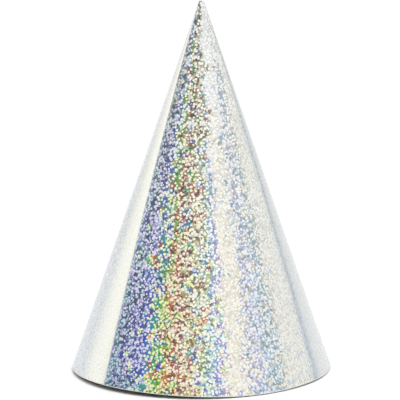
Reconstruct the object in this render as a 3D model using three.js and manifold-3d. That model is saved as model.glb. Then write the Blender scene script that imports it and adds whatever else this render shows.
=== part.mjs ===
// A New Year party hat: a cone rolled from one sheet of holographic card, standing on its rim.
//
//   card_cone         the paperboard sheet, rolled until its two straight edges lap at the back
//   holographic_film  the metallised film laminated to the whole outer face of the card
//   seam_adhesive     the strip of adhesive that holds the lap closed
//
// Millimetres. +Z points up from the floor to the tip, the front faces -Y, and the lap is at +Y.
// The origin is the centre of the rim, on the floor.

import * as THREE from 'three';
import { mergeVertices } from 'three/addons/utils/BufferGeometryUtils.js';
import Module from 'manifold-3d';

// The cone, measured on the outside of the film
const BASE_DIAMETER = 110;
const CONE_HEIGHT = 160; // from the floor to where the walls would meet in a point
const TIP_DIAMETER = 2.1; // where the sheet's sharp point is trimmed away

// The sheet, measured square to the wall
const CARD_THICKNESS = 0.35;
const FILM_THICKNESS = 0.05;
const BOND_CLEARANCE = 0.03; // between the card and its film
const FILM_SETBACK = 0.3; // height of the bare card edge under the film

// The lap, where the sheet lies two deep; angles in degrees around the cone
const LAP_ANGLE = 12.5;
const LAP_PAST_BACK = 4; // from +Y to the outer layer's edge
const EASE_ANGLE = 120; // in which the inner layer comes back out to the full circle
const FLAP_TIP_TRIM = 2; // drop of the flap's top edge, for each unit that it lies inside the cone

// The adhesive in the lap
const ADHESIVE_THICKNESS = 0.1;
const ADHESIVE_CLEARANCE = 0.04;
const ADHESIVE_EDGE_ANGLE = 2.5; // bare lap on each side of the strip, in degrees
const ADHESIVE_RIM_MARGIN = 3;
const ADHESIVE_TIP_MARGIN = 14;

// The two punched holes for the chin cord
const HOLE_DIAMETER = 2;
const HOLE_HEIGHT = 8;
const HOLE_ANGLE = 98; // from the front, on each side
const PUNCH_LENGTH = 12;
const PUNCH_SIDES = 24;

// How finely the roll is faceted
const FACET_ANGLE = 2.5;
const HEIGHT_FACETS = 4;

const FULL_TURN = 360;
const BACK = 90; // the direction of +Y, in degrees from +X
const FRONT = 270;
const baseRadius = BASE_DIAMETER / 2;
const slope = baseRadius / CONE_HEIGHT;
const wallAngle = Math.atan(slope);
const tipHeight = CONE_HEIGHT * (1 - TIP_DIAMETER / BASE_DIAMETER);

// Depths below the outside of the film, square to the wall
const filmDepths = { outer: 0, inner: FILM_THICKNESS };
const cardOuter = FILM_THICKNESS + BOND_CLEARANCE;
const cardDepths = { outer: cardOuter, inner: cardOuter + CARD_THICKNESS };
const adhesiveOuter = cardDepths.inner + ADHESIVE_CLEARANCE;
const adhesiveDepths = { outer: adhesiveOuter, inner: adhesiveOuter + ADHESIVE_THICKNESS };
const lapDepth = adhesiveDepths.inner + ADHESIVE_CLEARANCE;

const wasm = await Module();
wasm.setup();

// How far the sheet lies inside the full cone, this many degrees on from the flap's edge.
function inset(turn) {
  const outward = THREE.MathUtils.smoothstep(turn, LAP_ANGLE, LAP_ANGLE + EASE_ANGLE);
  return lapDepth * (1 - outward);
}

// The sheet's upper edge. The flap is trimmed lower, so that it clears the middle of the tip.
function sheetTop(turn) {
  return tipHeight - FLAP_TIP_TRIM * inset(turn) / slope;
}

// A point of the rolled sheet, from its turn, its height and its depth below the full cone.
function rolled(turn, height, depth) {
  const radius = (CONE_HEIGHT - height) * slope - depth / Math.cos(wallAngle);
  const angle = THREE.MathUtils.degToRad(BACK + LAP_PAST_BACK - LAP_ANGLE + turn);
  return new THREE.Vector3(radius * Math.cos(angle), radius * Math.sin(angle), height);
}

function facets(angle) {
  return Math.max(1, Math.round(angle / FACET_ANGLE));
}

// Rolls a flat box into a layer. Its corners keep their places in the box's grid: across it run
// the turns, up it the heights from low to top, and through it the depths from inner to outer.
function rollLayer(turns, low, top, depths, extraDepth) {
  const columns = turns.length - 1;
  const box = new THREE.BoxGeometry(columns, 1, 1, columns, HEIGHT_FACETS, 1);
  const corner = new THREE.Vector3();
  const place = box.attributes.position;
  for (let i = 0; i < place.count; i += 1) {
    corner.fromBufferAttribute(place, i);
    const turn = turns[Math.round(corner.x + columns / 2)];
    const height = THREE.MathUtils.lerp(low, top(turn), corner.y + 0.5);
    const depth = corner.z > 0 ? depths.outer : depths.inner;
    const point = rolled(turn, height, depth + extraDepth(turn));
    place.setXYZ(i, point.x, point.y, point.z);
  }
  box.deleteAttribute('normal');
  box.deleteAttribute('uv');
  return mergeVertices(box);
}

// The turns between two angles, in equal facets, without the last one.
function facetTurns(from, to) {
  const count = facets(to - from);
  return Array.from({ length: count }, (_, i) => THREE.MathUtils.lerp(from, to, i / count));
}

// The whole sheet, whose facets match in the two layers of the lap.
function rollSheet(low, depths) {
  const turns = [
    ...facetTurns(0, LAP_ANGLE),
    ...facetTurns(LAP_ANGLE, FULL_TURN),
    ...facetTurns(FULL_TURN, FULL_TURN + LAP_ANGLE),
    FULL_TURN + LAP_ANGLE,
  ];
  return rollLayer(turns, low, sheetTop, depths, inset);
}

function toSolid(geometry) {
  return new wasm.Manifold(new wasm.Mesh({
    numProp: 3,
    vertProperties: new Float32Array(geometry.attributes.position.array),
    triVerts: new Uint32Array(geometry.index.array),
  }));
}

function toGeometry(solid) {
  const mesh = solid.getMesh();
  const geometry = new THREE.BufferGeometry();
  geometry.setAttribute('position', new THREE.BufferAttribute(mesh.vertProperties, 3));
  geometry.setIndex(new THREE.BufferAttribute(mesh.triVerts, 1));
  geometry.computeVertexNormals();
  return geometry;
}

// One round punch, square to the wall, this many degrees round from the front.
function punch(fromFront) {
  const radius = HOLE_DIAMETER / 2;
  const cutter = new THREE.CylinderGeometry(radius, radius, PUNCH_LENGTH, PUNCH_SIDES);
  cutter.deleteAttribute('normal');
  cutter.deleteAttribute('uv');
  cutter.rotateZ(-Math.PI / 2);
  cutter.rotateY(-wallAngle);
  cutter.translate((CONE_HEIGHT - HOLE_HEIGHT) * slope, 0, HOLE_HEIGHT);
  cutter.rotateZ(THREE.MathUtils.degToRad(FRONT + fromFront));
  return toSolid(mergeVertices(cutter));
}

function punched(geometry) {
  return toGeometry(toSolid(geometry).subtract(punch(-HOLE_ANGLE)).subtract(punch(HOLE_ANGLE)));
}

function makeCard() {
  return punched(rollSheet(0, cardDepths));
}

function makeFilm() {
  return punched(rollSheet(FILM_SETBACK, filmDepths));
}

// The strip lies between the inner layer's film and the outer layer's card.
function makeAdhesive() {
  const from = FULL_TURN + ADHESIVE_EDGE_ANGLE;
  const to = FULL_TURN + LAP_ANGLE - ADHESIVE_EDGE_ANGLE;
  const turns = [...facetTurns(from, to), to];
  const top = sheetTop(0) - ADHESIVE_TIP_MARGIN;
  const strip = rollLayer(turns, ADHESIVE_RIM_MARGIN, () => top, adhesiveDepths, () => 0);
  strip.computeVertexNormals();
  return strip;
}

const whiteCard = new THREE.MeshStandardMaterial({ color: 0xf3f1ea, roughness: 0.9, metalness: 0 });
const silverFilm = new THREE.MeshStandardMaterial({ color: 0xd6d9dc, roughness: 0.25, metalness: 1 });
const clearAdhesive = new THREE.MeshStandardMaterial({ color: 0xe8e2cd, roughness: 0.5, metalness: 0 });

const hat = new THREE.Group();

function addPiece(name, geometry, material) {
  const piece = new THREE.Mesh(geometry, material);
  piece.name = name;
  hat.add(piece);
}

addPiece('card_cone', makeCard(), whiteCard);
addPiece('holographic_film', makeFilm(), silverFilm);
addPiece('seam_adhesive', makeAdhesive(), clearAdhesive);

export default hat;
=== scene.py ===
# A New Year party hat: a cone of holographic card, standing on its rim on a pale table.
# Metres, +Z up, the origin at the middle of the rim, the front towards -Y, the glued lap at +Y.

import math

import bpy
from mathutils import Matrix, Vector


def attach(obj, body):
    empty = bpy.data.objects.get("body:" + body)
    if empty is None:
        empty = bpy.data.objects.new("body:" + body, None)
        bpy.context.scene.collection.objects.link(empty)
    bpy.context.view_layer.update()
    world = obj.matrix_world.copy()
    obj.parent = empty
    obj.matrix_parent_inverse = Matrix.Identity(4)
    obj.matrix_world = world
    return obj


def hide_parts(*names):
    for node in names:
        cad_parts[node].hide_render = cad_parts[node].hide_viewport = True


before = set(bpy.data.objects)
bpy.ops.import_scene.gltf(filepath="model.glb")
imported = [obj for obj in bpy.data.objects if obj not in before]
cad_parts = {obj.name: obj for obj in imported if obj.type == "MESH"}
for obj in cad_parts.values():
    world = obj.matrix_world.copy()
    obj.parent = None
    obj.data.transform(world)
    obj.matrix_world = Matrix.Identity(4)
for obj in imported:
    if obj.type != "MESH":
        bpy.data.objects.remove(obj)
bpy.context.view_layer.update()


# ---------------------------------------------------------------------------------- card cone
# The body of the hat: one sector of 0.35 mm white paperboard, die-cut, punched twice for a chin
# cord, and rolled until its straight edges lap at the back. Its bare edge shows under the film.

MM = 0.001
BASE_RADIUS = 55 * MM
CONE_HEIGHT = 160 * MM
TIP_RADIUS = 1.05 * MM
CARD_THICKNESS = 0.35 * MM
FILM_THICKNESS = 0.05 * MM
BOND_GAP = 0.03 * MM
FILM_SETBACK = 0.3 * MM
GLUE_STACK = 0.18 * MM  # the adhesive and the two gaps beside it
BACK_DEGREES = 90  # from +X, as the directions of the lifts and the oval are
FRONT_DEGREES = 270
LAP_DEGREES = 12.5
LAP_PAST_BACK_DEGREES = 4
EASE_DEGREES = 120
TIP_TRIM = 2  # drop of the inner layer's top, in heights over which the cone narrows by its inset
CARD_DEPTH = FILM_THICKNESS + BOND_GAP
LAP_DEPTH = CARD_DEPTH + CARD_THICKNESS + GLUE_STACK
SHEET_INPUTS = {
    "Base Radius": BASE_RADIUS,
    "Cone Height": CONE_HEIGHT,
    "Tip Height": CONE_HEIGHT * (1 - TIP_RADIUS / BASE_RADIUS),
    "Lap Angle": math.radians(LAP_DEGREES),
    "Start Angle": math.radians(BACK_DEGREES + LAP_PAST_BACK_DEGREES - LAP_DEGREES),
    "Ease Angle": math.radians(EASE_DEGREES),
    "Lap Depth": LAP_DEPTH,
    "Tip Trim": TIP_TRIM,
    "Outer Depth": CARD_DEPTH,
    "Inner Depth": CARD_DEPTH + CARD_THICKNESS,
    "Setback": 0.0,
    "Left Lift": 1.95 * MM,
    "Left Lift Direction": math.radians(226),
    "Left Lift Falloff": 2.0,
    "Right Lift": 0.7 * MM,
    "Right Lift Direction": math.radians(328),
    "Right Lift Falloff": 8.0,
    "Oval Share": 0.024,
    "Oval Direction": math.radians(42),
    "Wave Height": 0.12 * MM,
    "Waves per Metre": 28.0,
    "Glued Angle": math.radians(20),
    "Free Angle": math.radians(85),
    "Hole Radius": 1.0 * MM,
    "Hole Height": 8 * MM,
    "Hole Angle": math.radians(98),
}
COLUMNS = 433
ROWS = 41
STILL_AT = 0.9  # how far a direction points to +Y where the waves have died away
WAVY_AT = 0.1
PUNCH_SIDES = 40
PUNCH_LENGTH = 0.2 * BASE_RADIUS
SHARP_DEGREES = 40


def linear(hex_colour):
    """An sRGB hex colour as the linear RGBA that a shader socket takes."""
    parts = [int(hex_colour[i:i + 2], 16) / 255 for i in (1, 3, 5)]
    return [c / 12.92 if c <= 0.04045 else ((c + 0.055) / 1.055) ** 2.4 for c in parts] + [1.0]


def add_node(tree, kind, inputs=None, **settings):
    """Adds a node, sets its settings, and links or sets the inputs that are given."""
    made = tree.nodes.new(kind)
    for name, value in settings.items():
        setattr(made, name, value)
    for key, value in (inputs or {}).items():
        if isinstance(value, bpy.types.Node):
            value = value.outputs[0]
        if isinstance(value, bpy.types.NodeSocket):
            tree.links.new(value, made.inputs[key])
        else:
            made.inputs[key].default_value = value
    return made


def rolled_sheet_tree():
    """Rolls a thin flat block into a lapped cone and punches it for the cord."""
    tree = bpy.data.node_groups.new("rolled sheet", "GeometryNodeTree")
    tree.is_modifier = True
    for name in SHEET_INPUTS:
        tree.interface.new_socket(name, in_out="INPUT", socket_type="NodeSocketFloat")
    for name in ("Columns", "Rows"):
        tree.interface.new_socket(name, in_out="INPUT", socket_type="NodeSocketInt")
    tree.interface.new_socket("Material", in_out="INPUT", socket_type="NodeSocketMaterial")
    tree.interface.new_socket("Geometry", in_out="OUTPUT", socket_type="NodeSocketGeometry")
    given = add_node(tree, "NodeGroupInput").outputs

    # The wall's slope, and how much wider a slanted wall is when it is cut level
    slope = add_node(tree, "ShaderNodeMath", {0: given["Base Radius"], 1: given["Cone Height"]},
                     operation="DIVIDE")
    wall_angle = add_node(tree, "ShaderNodeMath", {0: slope}, operation="ARCTANGENT")
    wall_cosine = add_node(tree, "ShaderNodeMath", {0: wall_angle}, operation="COSINE")
    wall_sine = add_node(tree, "ShaderNodeMath", {0: wall_angle}, operation="SINE")

    # Across the block run the turns, up it the heights, and through it the depths
    block = add_node(tree, "GeometryNodeMeshCube", {
        "Vertices X": given["Columns"], "Vertices Y": given["Rows"], "Vertices Z": 2})
    position = add_node(tree, "GeometryNodeInputPosition")
    grid = add_node(tree, "ShaderNodeSeparateXYZ", {0: position}).outputs
    full_turn = add_node(tree, "ShaderNodeMath", {0: given["Lap Angle"], 1: math.tau},
                         operation="ADD")
    turn = add_node(tree, "ShaderNodeMapRange", {
        "Value": grid["X"], "From Min": -0.5, "From Max": 0.5, "To Min": 0.0,
        "To Max": full_turn})
    ease_end = add_node(tree, "ShaderNodeMath", {0: given["Lap Angle"], 1: given["Ease Angle"]},
                        operation="ADD")
    inset = add_node(tree, "ShaderNodeMapRange", {
        "Value": turn, "From Min": given["Lap Angle"], "From Max": ease_end,
        "To Min": given["Lap Depth"], "To Max": 0.0}, interpolation_type="SMOOTHSTEP")
    angle = add_node(tree, "ShaderNodeMath", {0: turn, 1: given["Start Angle"]}, operation="ADD")

    # The glued lap holds its shape; the rest of the sheet is free to spring
    along_x = add_node(tree, "ShaderNodeMath", {0: angle}, operation="COSINE")
    along_y = add_node(tree, "ShaderNodeMath", {0: angle}, operation="SINE")
    from_back = add_node(tree, "ShaderNodeMath", {0: along_y}, operation="ARCCOSINE")
    freedom = add_node(tree, "ShaderNodeMapRange", {
        "Value": from_back, "From Min": given["Glued Angle"], "From Max": given["Free Angle"]},
        interpolation_type="SMOOTHSTEP")

    # The rim stands off the table at the front left, and a little at the front right
    low = given["Setback"]
    for side in ("Left", "Right"):
        facing = add_node(tree, "ShaderNodeMath", {
            0: angle, 1: given[side + " Lift Direction"]}, operation="SUBTRACT")
        facing = add_node(tree, "ShaderNodeMath", {0: facing}, operation="COSINE")
        facing = add_node(tree, "ShaderNodeMath", {0: facing, 1: 0.0}, operation="MAXIMUM")
        facing = add_node(tree, "ShaderNodeMath", {0: facing, 1: given[side + " Lift Falloff"]},
                          operation="POWER")
        low = add_node(tree, "ShaderNodeMath", {0: facing, 1: given[side + " Lift"], 2: low},
                       operation="MULTIPLY_ADD")
    trimmed = add_node(tree, "ShaderNodeMath", {0: inset, 1: given["Tip Trim"]},
                       operation="MULTIPLY")
    trimmed = add_node(tree, "ShaderNodeMath", {0: trimmed, 1: slope}, operation="DIVIDE")
    top = add_node(tree, "ShaderNodeMath", {0: given["Tip Height"], 1: trimmed},
                   operation="SUBTRACT")
    height = add_node(tree, "ShaderNodeMapRange", {
        "Value": grid["Y"], "From Min": -0.5, "From Max": 0.5, "To Min": low, "To Max": top})
    depth = add_node(tree, "ShaderNodeMapRange", {
        "Value": grid["Z"], "From Min": -0.5, "From Max": 0.5, "To Min": given["Inner Depth"],
        "To Max": given["Outer Depth"]})

    # The radius at that height, less the depth inside the full cone
    drop = add_node(tree, "ShaderNodeMath", {0: given["Cone Height"], 1: height},
                    operation="SUBTRACT")
    full_radius = add_node(tree, "ShaderNodeMath", {0: drop, 1: slope}, operation="MULTIPLY")
    inside = add_node(tree, "ShaderNodeMath", {0: depth, 1: inset}, operation="ADD")
    inside = add_node(tree, "ShaderNodeMath", {0: inside, 1: wall_cosine}, operation="DIVIDE")
    radius = add_node(tree, "ShaderNodeMath", {0: full_radius, 1: inside}, operation="SUBTRACT")

    # The free part springs a little oval
    oval = add_node(tree, "ShaderNodeMath", {0: angle, 1: given["Oval Direction"]},
                    operation="SUBTRACT")
    oval = add_node(tree, "ShaderNodeMath", {0: oval, 1: 2.0}, operation="MULTIPLY")
    oval = add_node(tree, "ShaderNodeMath", {0: oval}, operation="COSINE")
    oval = add_node(tree, "ShaderNodeMath", {0: oval, 1: freedom}, operation="MULTIPLY")
    oval = add_node(tree, "ShaderNodeMath", {0: oval, 1: given["Oval Share"], 2: 1.0},
                    operation="MULTIPLY_ADD")
    radius = add_node(tree, "ShaderNodeMath", {0: radius, 1: oval}, operation="MULTIPLY")
    outward = add_node(tree, "ShaderNodeCombineXYZ", {"X": along_x, "Y": along_y})
    raised = add_node(tree, "ShaderNodeCombineXYZ", {"Z": height})
    rolled = add_node(tree, "ShaderNodeVectorMath", {0: outward, 1: radius, 2: raised},
                      operation="MULTIPLY_ADD")

    # Where each point lay on the flat sheet: its distance from the tip and its sector angle
    slant = add_node(tree, "ShaderNodeMath", {0: drop, 1: wall_cosine}, operation="DIVIDE")
    sector = add_node(tree, "ShaderNodeMath", {0: turn, 1: wall_sine}, operation="MULTIPLY")
    sector_cosine = add_node(tree, "ShaderNodeMath", {0: sector}, operation="COSINE")
    sector_sine = add_node(tree, "ShaderNodeMath", {0: sector}, operation="SINE")
    direction = add_node(tree, "ShaderNodeCombineXYZ", {"X": sector_cosine, "Y": sector_sine})
    flat = add_node(tree, "ShaderNodeVectorMath", {0: direction, "Scale": slant},
                    operation="SCALE")
    marked = add_node(tree, "GeometryNodeStoreNamedAttribute", {
        "Geometry": block.outputs["Mesh"], "Name": "flat_sheet", "Value": flat},
        data_type="FLOAT2", domain="CORNER")
    cone = add_node(tree, "GeometryNodeSetPosition", {"Geometry": marked, "Position": rolled})

    # Soft waves, which die away towards the back, +Y
    place = add_node(tree, "ShaderNodeSeparateXYZ", {0: position}).outputs
    aside = add_node(tree, "ShaderNodeCombineXYZ", {"X": place["X"], "Y": place["Y"]})
    aside = add_node(tree, "ShaderNodeVectorMath", {0: aside}, operation="NORMALIZE")
    backward = add_node(tree, "ShaderNodeSeparateXYZ", {0: aside}).outputs["Y"]
    wave = add_node(tree, "ShaderNodeMapRange", {
        "Value": backward, "From Min": STILL_AT, "From Max": WAVY_AT, "To Min": 0.0,
        "To Max": given["Wave Height"]}, interpolation_type="SMOOTHSTEP")
    swell = add_node(tree, "ShaderNodeTexNoise", {
        "Vector": position, "Scale": given["Waves per Metre"], "Detail": 1.0})
    swell = add_node(tree, "ShaderNodeMath", {0: swell, 1: 0.5}, operation="SUBTRACT")
    swell = add_node(tree, "ShaderNodeMath", {0: swell, 1: wave}, operation="MULTIPLY")
    offset = add_node(tree, "ShaderNodeVectorMath", {0: aside, "Scale": swell}, operation="SCALE")
    cone = add_node(tree, "GeometryNodeSetPosition", {"Geometry": cone, "Offset": offset})

    # The two punches, square to the wall
    hole_drop = add_node(tree, "ShaderNodeMath", {
        0: given["Cone Height"], 1: given["Hole Height"]}, operation="SUBTRACT")
    hole_radius = add_node(tree, "ShaderNodeMath", {0: hole_drop, 1: slope}, operation="MULTIPLY")
    punch = add_node(tree, "GeometryNodeMeshCylinder", {
        "Vertices": PUNCH_SIDES, "Radius": given["Hole Radius"], "Depth": PUNCH_LENGTH})
    lean = add_node(tree, "ShaderNodeMath", {0: math.pi / 2, 1: wall_angle}, operation="SUBTRACT")
    lean = add_node(tree, "ShaderNodeCombineXYZ", {"Y": lean})
    stand = add_node(tree, "ShaderNodeCombineXYZ", {"X": hole_radius, "Z": given["Hole Height"]})
    punch = add_node(tree, "GeometryNodeTransform", {
        "Geometry": punch, "Rotation": lean, "Translation": stand})
    punches = add_node(tree, "GeometryNodeJoinGeometry")
    for side in (-1, 1):
        around = add_node(tree, "ShaderNodeMath", {
            0: given["Hole Angle"], 1: side, 2: math.radians(FRONT_DEGREES)},
            operation="MULTIPLY_ADD")
        around = add_node(tree, "ShaderNodeCombineXYZ", {"Z": around})
        turned = add_node(tree, "GeometryNodeTransform", {"Geometry": punch, "Rotation": around})
        tree.links.new(turned.outputs[0], punches.inputs[0])
    punched = add_node(tree, "GeometryNodeMeshBoolean", {"Mesh 1": cone, "Mesh 2": punches},
                       operation="DIFFERENCE", solver="EXACT")
    whole = add_node(tree, "GeometryNodeRealizeInstances", {"Geometry": punched})
    finished = add_node(tree, "GeometryNodeSetMaterial", {
        "Geometry": whole, "Material": given["Material"]})
    add_node(tree, "NodeGroupOutput", {0: finished})
    return tree


def roll_sheet(name, tree, material, changes):
    """A rolled layer as a plain mesh, smooth around the cone and crisp at its cut edges."""
    piece = bpy.data.objects.new(name, bpy.data.meshes.new(name))
    bpy.context.scene.collection.objects.link(piece)
    roll = piece.modifiers.new("roll", "NODES")
    roll.node_group = tree
    values = {**SHEET_INPUTS, **changes, "Columns": COLUMNS, "Rows": ROWS, "Material": material}
    for item in tree.interface.items_tree:
        if item.in_out == "INPUT":
            roll[item.identifier] = values[item.name]
    evaluated = piece.evaluated_get(bpy.context.evaluated_depsgraph_get())
    mesh = bpy.data.meshes.new_from_object(evaluated)
    piece.modifiers.remove(roll)
    piece.data = mesh
    mesh.name = name
    mesh.shade_smooth()
    mesh.set_sharp_from_angle(angle=math.radians(SHARP_DEGREES))
    return piece


# White uncoated paperboard: matt and faintly warm, with a soft fibre mottle and a felt-like tooth
paperboard = bpy.data.materials.new("uncoated white paperboard")
paperboard.use_nodes = True
tree = paperboard.node_tree
tree.nodes.clear()
place = add_node(tree, "ShaderNodeTexCoord").outputs["Object"]
FIBRE_LENGTH = 1.5 * MM
MOTTLE_WIDTH = 9 * MM
TOOTH_HEIGHT = 0.05 * MM
TOOTH_STRENGTH = 0.35
fibres = add_node(tree, "ShaderNodeTexNoise", {
    "Vector": place, "Scale": 1 / FIBRE_LENGTH, "Detail": 6.0, "Roughness": 0.7})
mottle = add_node(tree, "ShaderNodeTexNoise", {
    "Vector": place, "Scale": 1 / MOTTLE_WIDTH, "Detail": 3.0})
shade = add_node(tree, "ShaderNodeMix", {
    0: mottle, 6: linear("#ece8df"), 7: linear("#f9f7f2")}, data_type="RGBA")
tooth = add_node(tree, "ShaderNodeBump", {
    "Height": fibres, "Strength": TOOTH_STRENGTH, "Distance": TOOTH_HEIGHT})
surface = add_node(tree, "ShaderNodeBsdfPrincipled", {
    "Base Color": shade.outputs[2], "Roughness": 0.92, "Specular IOR Level": 0.3,
    "Normal": tooth})
add_node(tree, "ShaderNodeOutputMaterial", {"Surface": surface})

sheet_tree = rolled_sheet_tree()
card = roll_sheet("card", sheet_tree, paperboard, {})
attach(card, "root")
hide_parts("card_cone")


# --------------------------------------------------------------------------- holographic film
# A clear film, embossed with a fine diffraction grating that is broken into glitter cells, then
# metallised and laminated to the card. It covers the whole outer face, down to the cut rim.

# The widths of the glitter's cells. The grating's own grooves are far too fine to show and are
# left out; the cells are drawn no finer than can be seen.
COARSE_MM = 2.4
MIDDLE_MM = 1.2
FINE_MM = 0.66
DOT_SPACING_MM = 1.42

# Metallised film gives the eye hard, near-white sparks among fragments in runs of colour, with
# calm satin silver at the sides
film_finish = bpy.data.materials.new("metallised holographic film")
film_finish.use_nodes = True
tree = film_finish.node_tree
tree.nodes.clear()

# The pattern lies on the flat sheet, in millimetres
flat = add_node(tree, "ShaderNodeUVMap", uv_map="flat_sheet")
flat = add_node(tree, "ShaderNodeVectorMath", {0: flat, "Scale": 1 / MM}, operation="SCALE")
coarse, middle, fine, dotted = (
    add_node(tree, "ShaderNodeTexVoronoi", {"Vector": flat, "Scale": 1 / width},
             voronoi_dimensions="2D").outputs
    for width in (COARSE_MM, MIDDLE_MM, FINE_MM, DOT_SPACING_MM))

# Fragments of fine and middle size take their own brightness and hue
WHOLE_MIDDLE = 0.3
whole = add_node(tree, "ShaderNodeSeparateColor", {0: middle["Color"]}).outputs["Blue"]
whole = add_node(tree, "ShaderNodeMath", {0: whole, 1: WHOLE_MIDDLE}, operation="LESS_THAN")
fragment = add_node(tree, "ShaderNodeMix", {
    0: whole, 6: fine["Color"], 7: middle["Color"]}, data_type="RGBA").outputs[2]
draws = add_node(tree, "ShaderNodeSeparateColor", {0: fragment}).outputs
level = draws["Red"]
hue_draw = draws["Green"]

# The grating splits light into a run of colours. A real run moves with the eye; here it is
# painted round the hat, the same front and back, and spreads a little towards the tip.
SPREAD = 0.16
place = add_node(tree, "ShaderNodeTexCoord").outputs["Object"]
place = add_node(tree, "ShaderNodeSeparateXYZ", {0: place}).outputs
rise = add_node(tree, "ShaderNodeMath", {0: place["Z"], 1: CONE_HEIGHT}, operation="DIVIDE")
squeeze = add_node(tree, "ShaderNodeMath", {0: rise, 1: -SPREAD, 2: 1.0},
                   operation="MULTIPLY_ADD")
forward = add_node(tree, "ShaderNodeMath", {0: place["Y"], 1: -1.0}, operation="MULTIPLY")
around = add_node(tree, "ShaderNodeMath", {0: place["X"], 1: forward}, operation="ARCTAN2")
around = add_node(tree, "ShaderNodeMath", {0: around, 1: math.pi / 2, 2: -math.pi / 2},
                  operation="WRAP")

# The grating belongs to the flat sheet, so the run also shifts a little as the sheet turns,
# and it breaks where the two edges lap
SHEET_SHIFT = 0.14
on_sheet = add_node(tree, "ShaderNodeSeparateXYZ", {0: flat}).outputs
sector = add_node(tree, "ShaderNodeMath", {0: on_sheet["Y"], 1: on_sheet["X"]},
                  operation="ARCTAN2")
wall_sine = BASE_RADIUS / math.hypot(BASE_RADIUS, CONE_HEIGHT)
front_sector = math.radians(180 - LAP_PAST_BACK_DEGREES + LAP_DEGREES) * wall_sine
sector = add_node(tree, "ShaderNodeMath", {0: sector, 1: front_sector}, operation="SUBTRACT")
around = add_node(tree, "ShaderNodeMath", {0: around, 1: 1 - SHEET_SHIFT * wall_sine},
                  operation="MULTIPLY")
around = add_node(tree, "ShaderNodeMath", {0: sector, 1: SHEET_SHIFT, 2: around},
                  operation="MULTIPLY_ADD")
around = add_node(tree, "ShaderNodeMath", {0: around, 1: squeeze}, operation="MULTIPLY")
around = add_node(tree, "ShaderNodeMath", {0: around, 1: 1 / math.pi, 2: 0.5},
                  operation="MULTIPLY_ADD")

# A few coarse patches show their full colour all over, and a third do where it turns to green
FULL_COLOUR_SHARE = 0.03
GREEN_TURN = 0.5 - 25.5 / 180
GREEN_HALF_WIDTH = 3.5 / 180
GREEN_SHARE = 0.3
FULL_COLOUR_LEVEL = 0.4
coarse_draws = add_node(tree, "ShaderNodeSeparateColor", {0: coarse["Color"]}).outputs
full = add_node(tree, "ShaderNodeMath", {0: around, 1: GREEN_TURN, 2: GREEN_HALF_WIDTH},
                operation="COMPARE")
full = add_node(tree, "ShaderNodeMath", {0: full, 1: GREEN_SHARE, 2: FULL_COLOUR_SHARE},
                operation="MULTIPLY_ADD")
full = add_node(tree, "ShaderNodeMath", {0: coarse_draws["Blue"], 1: full}, operation="LESS_THAN")
level = add_node(tree, "ShaderNodeMix", {0: full, 2: level, 3: FULL_COLOUR_LEVEL})

# The grating's pitch drifts along the sheet, and the coarse patches, the fragments and the dots
# each stray from it. The patches' stray is a cube, so that most stray little and a few stray far,
# and farther towards the tip.
DRIFT_MM = 14
DRIFT = 3.5 / 180
PATCH_STRAY = 12 / 180
TIP_STRAY = 16 / 180
STRAY_POWER = 3.0
FRAGMENT_STRAY = 5 / 180
DOT_STRAY = 10 / 180
drift = add_node(tree, "ShaderNodeTexNoise", {"Vector": flat, "Scale": 1 / DRIFT_MM},
                 noise_dimensions="2D")
dot_draws = add_node(tree, "ShaderNodeSeparateColor", {0: dotted["Color"]}).outputs
patch_stray = add_node(tree, "ShaderNodeMath", {0: coarse_draws["Green"], 1: 2.0, 2: -1.0},
                       operation="MULTIPLY_ADD")
patch_stray = add_node(tree, "ShaderNodeMath", {0: patch_stray, 1: STRAY_POWER},
                       operation="POWER")
patch_reach = add_node(tree, "ShaderNodeMath", {0: rise, 1: TIP_STRAY, 2: PATCH_STRAY},
                       operation="MULTIPLY_ADD")
stray = add_node(tree, "ShaderNodeMath", {0: patch_stray, 1: patch_reach, 2: around},
                 operation="MULTIPLY_ADD")
for draw, reach in ((drift, DRIFT), (hue_draw, FRAGMENT_STRAY)):
    draw = add_node(tree, "ShaderNodeMath", {0: draw, 1: 0.5}, operation="SUBTRACT")
    stray = add_node(tree, "ShaderNodeMath", {0: draw, 1: reach, 2: stray},
                     operation="MULTIPLY_ADD")
dot_stray = add_node(tree, "ShaderNodeMath", {0: dot_draws["Blue"], 1: 0.5},
                     operation="SUBTRACT")
dot_stray = add_node(tree, "ShaderNodeMath", {0: dot_stray, 1: DOT_STRAY, 2: stray},
                     operation="MULTIPLY_ADD")
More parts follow.
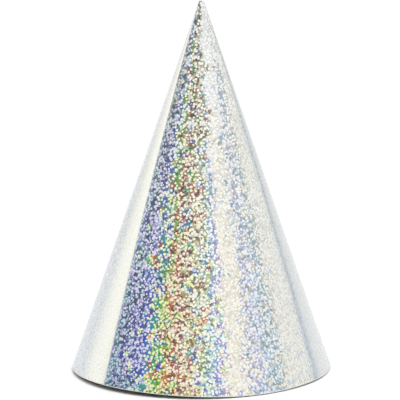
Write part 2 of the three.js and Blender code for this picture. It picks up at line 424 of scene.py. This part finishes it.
# Besides its colours, the run is darker at the front left and paler from 13 to 22 and 46 to 60
# degrees: in part a painted reflection of the tent's dark side and bright panels.
SPECTRUM = (
    # degrees from the front, then the gaps, the glow and the sparks
    (-90, "#8a92a0", "#8c9cb4", "#dfe4e8"),
    (-48, "#8a96a0", "#52789c", "#c0d8e4"),
    (-43, "#667c80", "#3e6888", "#b8dce0"),
    (-39, "#6a7886", "#3c5498", "#d0c8ec"),
    (-35, "#767c90", "#4a58b4", "#dcccec"),
    (-31, "#788098", "#4860d0", "#e0daf4"),
    (-27.5, "#7e8aa8", "#4474ec", "#e8ecec"),
    (-24.5, "#849ca4", "#34acb4", "#f4f6d0"),
    (-22, "#7c967c", "#22c04a", "#f4f8b8"),
    (-19, "#869e74", "#74ca44", "#f4f8b2"),
    (-16.5, "#927c6c", "#e8943a", "#fdf0c0"),
    (-13, "#80726e", "#d45058", "#fcf0d0"),
    (-10, "#7a7670", "#a8688c", "#fcf6d8"),
    (-6, "#8a8474", "#ccb67a", "#fefada"),
    (-2, "#a2a08a", "#e0d88e", "#fefbe0"),
    (1.5, "#98a294", "#a4d4a8", "#fcfbe8"),
    (5, "#8c9aa4", "#50b4dc", "#f4faf4"),
    (8, "#9096a8", "#607ce4", "#f6f6f4"),
    (10.5, "#9c96a0", "#a87cc8", "#f6f3ec"),
    (13, "#b0aca0", "#dcd6ba", "#f8f6ea"),
    (22, "#acaaa4", "#d8d4c4", "#f6f4ea"),
    (25, "#989aa6", "#b2acd8", "#eeeef0"),
    (31, "#909aa8", "#94b0e2", "#ebeff4"),
    (36, "#8c979c", "#80bccf", "#e8eeec"),
    (41, "#868e90", "#94a6ae", "#e8e7e2"),
    (46, "#a8a8a0", "#d0cec0", "#eae9e0"),
    (60, "#a8aca8", "#c4c8c4", "#e4e5de"),
    (65, "#8c98a8", "#8ca0c0", "#c8d0d8"),
    (90, "#8a92a0", "#8c9cb4", "#dfe4e8"),
)
run_colours = []
for layer, where in ((1, stray), (2, stray), (3, dot_stray)):
    ramp = add_node(tree, "ShaderNodeValToRGB", {"Fac": where})
    stops = ramp.color_ramp.elements
    for row in SPECTRUM[1:-1]:
        stops.new(row[0] / 180 + 0.5).color = linear(row[layer])
    stops[0].color = linear(SPECTRUM[0][layer])
    stops[len(stops) - 1].color = linear(SPECTRUM[-1][layer])
    run_colours.append(ramp.outputs[0])
dull, vivid, sparkling = run_colours

# The fragments with a low draw are turned away and stay dull; the rest glow, from a full colour
# to nearly white
GLOW_FROM = 0.28
PALE_RANGE = (0.5, 1.05)
glows = add_node(tree, "ShaderNodeMath", {0: level, 1: GLOW_FROM}, operation="GREATER_THAN")
pale = add_node(tree, "ShaderNodeMapRange", {
    "Value": level, "From Min": PALE_RANGE[0], "From Max": PALE_RANGE[1]})

# Round dots flash nearly white over the fragments
DOT_RADIUS = (0.24, 0.46)
DOT_SHARE = 0.8
dot_radius = add_node(tree, "ShaderNodeMix", {
    0: dot_draws["Green"], 2: DOT_RADIUS[0], 3: DOT_RADIUS[1]})
dot = add_node(tree, "ShaderNodeMath", {0: dotted["Distance"], 1: dot_radius},
               operation="LESS_THAN")
chosen = add_node(tree, "ShaderNodeMath", {0: dot_draws["Red"], 1: DOT_SHARE},
                  operation="LESS_THAN")
dot = add_node(tree, "ShaderNodeMath", {0: dot, 1: chosen}, operation="MULTIPLY")
pale = add_node(tree, "ShaderNodeMath", {0: pale, 1: dot}, operation="MAXIMUM")
glows = add_node(tree, "ShaderNodeMath", {0: glows, 1: dot}, operation="MAXIMUM")

# The dull fragments and the sparks carry some of the colour around them, and towards the tip
# the tighter curve mixes the colours greyer
GAP_TINT = 0.25
GLOW_GREY = 0.14
SPARK_TINT = 0.08
TIP_GREY = 0.72
TIP_WHITE = 0.75
TIP_SPARK = "#f8faf6"
greyer = add_node(tree, "ShaderNodeMath", {0: rise, 1: TIP_GREY, 2: GLOW_GREY},
                  operation="MULTIPLY_ADD")
whiter = add_node(tree, "ShaderNodeMath", {0: rise, 1: TIP_WHITE}, operation="MULTIPLY")
glow_colour = add_node(tree, "ShaderNodeMix", {0: greyer, 6: vivid, 7: dull},
                       data_type="RGBA").outputs[2]
gap_colour = add_node(tree, "ShaderNodeMix", {0: GAP_TINT, 6: dull, 7: glow_colour},
                      data_type="RGBA").outputs[2]
spark_colour = add_node(tree, "ShaderNodeMix", {
    0: SPARK_TINT, 6: sparkling, 7: glow_colour}, data_type="RGBA").outputs[2]
spark_colour = add_node(tree, "ShaderNodeMix", {
    0: whiter, 6: spark_colour, 7: linear(TIP_SPARK)}, data_type="RGBA").outputs[2]
colour = add_node(tree, "ShaderNodeMix", {
    0: pale, 6: glow_colour, 7: spark_colour}, data_type="RGBA").outputs[2]
colour = add_node(tree, "ShaderNodeMix", {
    0: glows, 6: gap_colour, 7: colour}, data_type="RGBA").outputs[2]

# Near the tip, the glitter beside the left highlight is painted darker: painted shade, standing
# for the tent's dark side reflected there
HIGH_RISE = (0.45, 0.8)
PAINTED_SHADE_COLOUR = "#66605c"
SHADE_FROM = 0.5 - 30 / 180
SHADE_BLEND = 8 / 180
LEFT_PAINTED_SHADE = 0.35
high = add_node(tree, "ShaderNodeMapRange", {
    "Value": rise, "From Min": HIGH_RISE[0], "From Max": HIGH_RISE[1]})
left_painted_shade = add_node(tree, "ShaderNodeMapRange", {
    "Value": around, "From Min": SHADE_FROM, "From Max": SHADE_FROM - SHADE_BLEND,
    "To Min": 0.0, "To Max": LEFT_PAINTED_SHADE})
left_painted_shade = add_node(tree, "ShaderNodeMath", {0: left_painted_shade, 1: high}, operation="MULTIPLY")
colour = add_node(tree, "ShaderNodeMix", {
    0: left_painted_shade, 6: colour, 7: linear(PAINTED_SHADE_COLOUR)}, data_type="RGBA").outputs[2]

# Where the grating turns from every light, the film lies calm as plain satin silver. These
# silvers are painted in place too, their lighter and darker stretches in part a painted
# reflection of the tent, and the near-white stretch on the left is a painted highlight.
CALM = (
    # degrees from the front, the silver or painted highlight, and how much of the glitter it
    # quiets
    (-90, "#c6cacb", 0.88), (-77, "#ced2d5", 0.78), (-67, "#e6e9ea", 0.7),
    (-58, "#f2f2e8", 0.9), (-46.7, "#faf9ee", 0.95), (-45.5, "#a0acb8", 0.15),
    (-43, "#a0acb8", 0.0), (22, "#d4d6dc", 0.0), (26, "#d4d6dc", 0.15), (41, "#dedcd0", 0.12),
    (45, "#e8e7df", 0.5), (59, "#e4e5de", 0.55), (61.5, "#d0d5d6", 0.65),
    (63.2, "#aeb9c2", 0.7), (65, "#bfc8cd", 0.8), (68.5, "#dee0df", 0.9),
    (77, "#d3d5d4", 0.9), (90, "#c6cacb", 0.88),
)
calm = add_node(tree, "ShaderNodeValToRGB", {"Fac": around})
stops = calm.color_ramp.elements
for degrees, silver, share in CALM[1:-1]:
    stops.new(degrees / 180 + 0.5).color = linear(silver)[:3] + [share]
stops[0].color = linear(CALM[0][1])[:3] + [CALM[0][2]]
stops[len(stops) - 1].color = linear(CALM[-1][1])[:3] + [CALM[-1][2]]

# Higher up, the right side calms too, and the left edge is painted whiter, as a painted highlight
RIGHT_SIDE = 0.5 + 22 / 180
RIGHT_CALM = 0.2
LEFT_EDGE = 0.5 - 58 / 180
LEFT_PAINTED_HIGHLIGHT = 0.6
SIDE_BLEND = 6 / 180
right_calm = add_node(tree, "ShaderNodeMapRange", {
    "Value": around, "From Min": RIGHT_SIDE, "From Max": RIGHT_SIDE + SIDE_BLEND,
    "To Min": 0.0, "To Max": RIGHT_CALM})
right_calm = add_node(tree, "ShaderNodeMath", {0: right_calm, 1: rise}, operation="MULTIPLY")
calm_share = add_node(tree, "ShaderNodeMix", {
    0: right_calm, 2: calm.outputs["Alpha"], 3: 1.0})
colour = add_node(tree, "ShaderNodeMix", {
    0: calm_share, 6: colour, 7: calm}, data_type="RGBA").outputs[2]
left_painted_highlight = add_node(tree, "ShaderNodeMapRange", {
    "Value": around, "From Min": LEFT_EDGE, "From Max": LEFT_EDGE - SIDE_BLEND,
    "To Min": 0.0, "To Max": LEFT_PAINTED_HIGHLIGHT})
left_painted_highlight = add_node(tree, "ShaderNodeMath", {0: left_painted_highlight, 1: high}, operation="MULTIPLY")
colour = add_node(tree, "ShaderNodeMix", {
    0: left_painted_highlight, 6: colour, 7: linear("#ffffff")}, data_type="RGBA").outputs[2]

# A cream band, painted where the light from the front right is reflected, widens towards the
# tip and fills the glitter in
BAND_MIDDLE = 0.5 + 17.3 / 180
BAND_HALF_WIDTH = 2.4 / 180
BAND_WIDENING = 8.5 / 180
TIP_HALF_WIDTH = 16 / 180
BAND_EDGE = 2.5 / 180
BAND_SHARE = (0.36, 0.6)
BAND_COLOURS = ("#f2efe2", "#f2f4f2")  # low down, and high up
TIP_RISE = (0.78, 1.0)
band_half = add_node(tree, "ShaderNodeMapRange", {
    "Value": rise, "From Min": TIP_RISE[0], "From Max": TIP_RISE[1],
    "To Min": BAND_HALF_WIDTH, "To Max": TIP_HALF_WIDTH})
band_half = add_node(tree, "ShaderNodeMath", {
    0: rise, 1: BAND_WIDENING, 2: band_half}, operation="MULTIPLY_ADD")
band_end = add_node(tree, "ShaderNodeMath", {0: band_half, 1: BAND_EDGE}, operation="ADD")
off_band = add_node(tree, "ShaderNodeMath", {0: stray, 1: around}, operation="ADD")
off_band = add_node(tree, "ShaderNodeMath", {0: off_band, 1: 0.5, 2: -BAND_MIDDLE},
                    operation="MULTIPLY_ADD")
off_band = add_node(tree, "ShaderNodeMath", {0: off_band}, operation="ABSOLUTE")
band_share = add_node(tree, "ShaderNodeMix", {0: rise, 2: BAND_SHARE[0], 3: BAND_SHARE[1]})
band = add_node(tree, "ShaderNodeMapRange", {
    "Value": off_band, "From Min": band_end, "From Max": band_half, "To Min": 0.0,
    "To Max": band_share}, interpolation_type="SMOOTHSTEP")
cream = add_node(tree, "ShaderNodeMix", {
    0: high, 6: linear(BAND_COLOURS[0]), 7: linear(BAND_COLOURS[1])},
    data_type="RGBA").outputs[2]
colour = add_node(tree, "ShaderNodeMix", {0: band, 6: colour, 7: cream},
                  data_type="RGBA").outputs[2]
quiet = add_node(tree, "ShaderNodeMath", {0: calm_share, 1: band}, operation="MAXIMUM")

# The dull fragments are the smoothest and the most metallic; the paler a fragment glows, the
# rougher and less metallic it is
DULL_METAL, VIVID_METAL, SPARK_METAL, CALM_METAL = 0.6, 0.4, 0.0, 0.3
DULL_ROUGH, VIVID_ROUGH, SPARK_ROUGH, CALM_ROUGH = 0.14, 0.35, 0.5, 0.28
glow_metal = add_node(tree, "ShaderNodeMix", {0: pale, 2: VIVID_METAL, 3: SPARK_METAL})
glow_rough = add_node(tree, "ShaderNodeMix", {0: pale, 2: VIVID_ROUGH, 3: SPARK_ROUGH})
metal = add_node(tree, "ShaderNodeMix", {0: glows, 2: DULL_METAL, 3: glow_metal})
rough = add_node(tree, "ShaderNodeMix", {0: glows, 2: DULL_ROUGH, 3: glow_rough})
metal = add_node(tree, "ShaderNodeMix", {0: quiet, 2: metal, 3: CALM_METAL})
rough = add_node(tree, "ShaderNodeMix", {0: quiet, 2: rough, 3: CALM_ROUGH})

# Every fragment faces a little its own way, least where the film lies calm
TILT = 0.05
CALM_TILT = 0.015
tilt = add_node(tree, "ShaderNodeVectorMath", {0: fragment, 1: (0.5, 0.5, 0.5)},
                operation="SUBTRACT")
tilt_size = add_node(tree, "ShaderNodeMix", {0: quiet, 2: TILT, 3: CALM_TILT})
normal = add_node(tree, "ShaderNodeNewGeometry").outputs["Normal"]
normal = add_node(tree, "ShaderNodeVectorMath", {0: tilt, 1: tilt_size, 2: normal},
                  operation="MULTIPLY_ADD")
normal = add_node(tree, "ShaderNodeVectorMath", {0: normal}, operation="NORMALIZE")
COAT = 0.3  # the clear film over the metal
COAT_ROUGH = 0.05
surface = add_node(tree, "ShaderNodeBsdfPrincipled", {
    "Base Color": colour, "Metallic": metal, "Roughness": rough, "Normal": normal,
    "Coat Weight": COAT, "Coat Roughness": COAT_ROUGH})
add_node(tree, "ShaderNodeOutputMaterial", {"Surface": surface})

film = roll_sheet("film", sheet_tree, film_finish, {
    "Outer Depth": 0.0, "Inner Depth": FILM_THICKNESS, "Setback": FILM_SETBACK})
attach(film, "root")
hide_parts("holographic_film")


# ------------------------------------------------------------------------------- seam adhesive
# A strip of pressure-sensitive adhesive that holds the lap closed. It lies hidden between the
# two layers of the sheet, so the CAD solid is kept and only takes a material.

# Such adhesive gives the eye a soft, milky, slightly yellow sheen with faint streaks
STREAK_WIDTH = 4 * MM
adhesive = bpy.data.materials.new("milky pressure-sensitive adhesive")
adhesive.use_nodes = True
tree = adhesive.node_tree
tree.nodes.clear()
place = add_node(tree, "ShaderNodeTexCoord").outputs["Object"]
streaks = add_node(tree, "ShaderNodeTexNoise", {"Vector": place, "Scale": 1 / STREAK_WIDTH})
shade = add_node(tree, "ShaderNodeMix", {
    0: streaks, 6: linear("#ddd6c0"), 7: linear("#ece6d4")}, data_type="RGBA")
surface = add_node(tree, "ShaderNodeBsdfPrincipled", {
    "Base Color": shade.outputs[2], "Roughness": 0.45})
add_node(tree, "ShaderNodeOutputMaterial", {"Surface": surface})
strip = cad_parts["seam_adhesive"]
strip.data.materials.clear()
strip.data.materials.append(adhesive)


# --------------------------------------------------------------------- table, light and camera
# A wide white table, a soft light tent that is darkest to the front left, and two softboxes. A
# long lens looks down a little on the hat from the front.

# Matt white paint gives the eye an even white that takes a soft shadow and no reflection
table_finish = bpy.data.materials.new("matt white table")
table_finish.use_nodes = True
tree = table_finish.node_tree
tree.nodes.clear()
surface = add_node(tree, "ShaderNodeBsdfPrincipled", {
    "Base Color": linear("#f4f4f4"), "Roughness": 0.9, "Specular IOR Level": 0.1})
add_node(tree, "ShaderNodeOutputMaterial", {"Surface": surface})
TABLE_HALF = 5.0
table_mesh = bpy.data.meshes.new("table")
table_mesh.from_pydata(
    [(x * TABLE_HALF, y * TABLE_HALF, 0) for x, y in ((-1, -1), (1, -1), (1, 1), (-1, 1))],
    [], [(0, 1, 2, 3)])
table = bpy.data.objects.new("table", table_mesh)
table.data.materials.append(table_finish)
bpy.context.scene.collection.objects.link(table)

# The tent's brightness at each bearing round the hat, in degrees from the viewer's side,
# positive to the right
TENT = (
    (-180, 0.75), (-172, 0.90), (-162, 0.70), (-150, 0.58), (-135, 0.56), (-126, 0.64),
    (-116, 0.92), (-96.5, 0.96), (-95, 0.26), (-60, 0.22), (-10, 0.24), (10, 0.34),
    (22, 0.95), (44, 0.95), (52, 0.60), (82, 0.60), (89, 0.76), (116, 0.74), (124, 0.55),
    (131, 0.50), (140, 0.50), (152, 0.46), (165, 0.46), (180, 0.75),
)
world = bpy.data.worlds.new("light tent")
bpy.context.scene.world = world
world.use_nodes = True
tree = world.node_tree
tree.nodes.clear()
sky = add_node(tree, "ShaderNodeTexCoord").outputs["Generated"]
sky = add_node(tree, "ShaderNodeSeparateXYZ", {0: sky}).outputs
forward = add_node(tree, "ShaderNodeMath", {0: sky["Y"], 1: -1.0}, operation="MULTIPLY")
bearing = add_node(tree, "ShaderNodeMath", {0: sky["X"], 1: forward}, operation="ARCTAN2")
bearing = add_node(tree, "ShaderNodeMath", {0: bearing, 1: 1 / math.tau, 2: 0.5},
                   operation="MULTIPLY_ADD")
wall = add_node(tree, "ShaderNodeValToRGB", {"Fac": bearing})
stops = wall.color_ramp.elements
for degrees, bright in TENT[1:-1]:
    stops.new(degrees / 360 + 0.5).color = (bright, bright, bright, 1)
stops[0].color = (TENT[0][1],) * 3 + (1,)
stops[len(stops) - 1].color = (TENT[-1][1],) * 3 + (1,)
TENT_POWER = 1.25
OVERHEAD = 1.0
OVERHEAD_FROM_DEGREES = 34  # above the horizon, where the walls begin to give way to it
OVERHEAD_FULL_DEGREES = 50
high = add_node(tree, "ShaderNodeMapRange", {
    "Value": sky["Z"], "From Min": math.sin(math.radians(OVERHEAD_FROM_DEGREES)),
    "From Max": math.sin(math.radians(OVERHEAD_FULL_DEGREES))}, interpolation_type="SMOOTHSTEP")
tent = add_node(tree, "ShaderNodeMix", {
    0: high, 6: wall, 7: (OVERHEAD, OVERHEAD, OVERHEAD, 1)}, data_type="RGBA")
light = add_node(tree, "ShaderNodeBackground", {
    "Color": tent.outputs[2], "Strength": TENT_POWER})
add_node(tree, "ShaderNodeOutputWorld", {"Surface": light})


def softbox(name, bearing_degrees, height, distance, size, power):
    """A rectangular soft light that faces the middle of the hat."""
    lamp = bpy.data.lights.new(name, "AREA")
    lamp.shape = "RECTANGLE"
    lamp.size, lamp.size_y = size
    lamp.energy = power
    lamp_object = bpy.data.objects.new(name, lamp)
    a = math.radians(bearing_degrees)
    lamp_object.location = (math.sin(a) * distance, -math.cos(a) * distance, height)
    aim = Vector((0, 0, CONE_HEIGHT / 2)) - lamp_object.location
    lamp_object.rotation_euler = aim.to_track_quat("-Z", "Y").to_euler()
    lamp_object.visible_camera = False
    lamp_object.visible_glossy = False
    bpy.context.scene.collection.objects.link(lamp_object)


softbox("left softbox", bearing_degrees=-107, height=0.75, distance=1.8, size=(0.66, 1.5),
        power=3)
softbox("overhead softbox", bearing_degrees=20, height=2.0, distance=0.4, size=(1.2, 1.2),
        power=12)

CAMERA_DISTANCE = 26 * BASE_RADIUS
CAMERA_ELEVATION = math.radians(11.28)
SENSOR_WIDTH = 36
FOCAL_LENGTH = 305.9
FARTHEST_SEEN = 20
AIM = Vector((-0.51 * MM, 0, 72.38 * MM))
camera = bpy.data.objects.new("camera", bpy.data.cameras.new("camera"))
bpy.context.scene.collection.objects.link(camera)
back = Vector((0, -math.cos(CAMERA_ELEVATION), math.sin(CAMERA_ELEVATION)))
camera.location = AIM + back * CAMERA_DISTANCE
camera.rotation_euler = (-back).to_track_quat("-Z", "Y").to_euler()
camera.data.sensor_width = SENSOR_WIDTH
camera.data.lens = FOCAL_LENGTH
camera.data.clip_end = FARTHEST_SEEN
bpy.context.scene.camera = camera
bpy.context.scene.view_settings.view_transform = "Standard"
